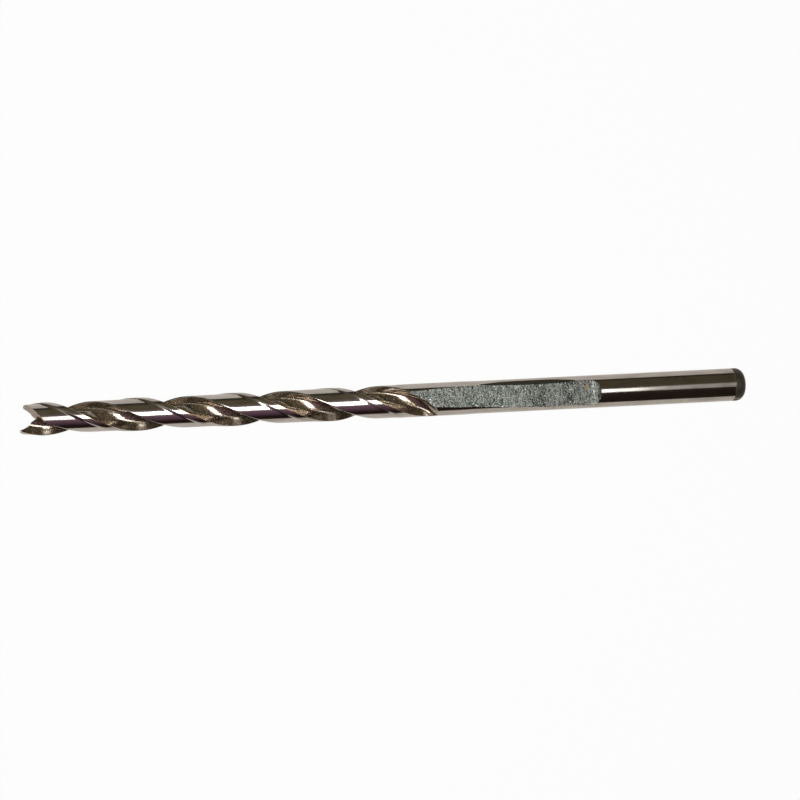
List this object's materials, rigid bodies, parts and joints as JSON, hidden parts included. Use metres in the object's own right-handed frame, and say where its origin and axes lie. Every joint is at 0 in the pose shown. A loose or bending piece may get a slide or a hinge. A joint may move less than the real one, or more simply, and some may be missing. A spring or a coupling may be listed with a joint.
{
  "type": "pilot drill bit",
  "caption": "Two-flute pilot drill bit with a fishtail point and a round shank that has a long flat for a set screw.",
  "frame": {"origin": "on the shank's axis, where its round wall ends and the rounded end begins", "axes": "+X along the bit towards the shank's end, +Z out of the flat's side, +Y across"},
  "size_m": [0.138, 0.0064, 0.0064],
  "materials": {
    "ground_steel": "ground and polished steel, with brown oxide left in the flutes"
  },
  "bodies": {
    "root": {"drill_bit": "ground_steel"}
  },
  "joints": []
}
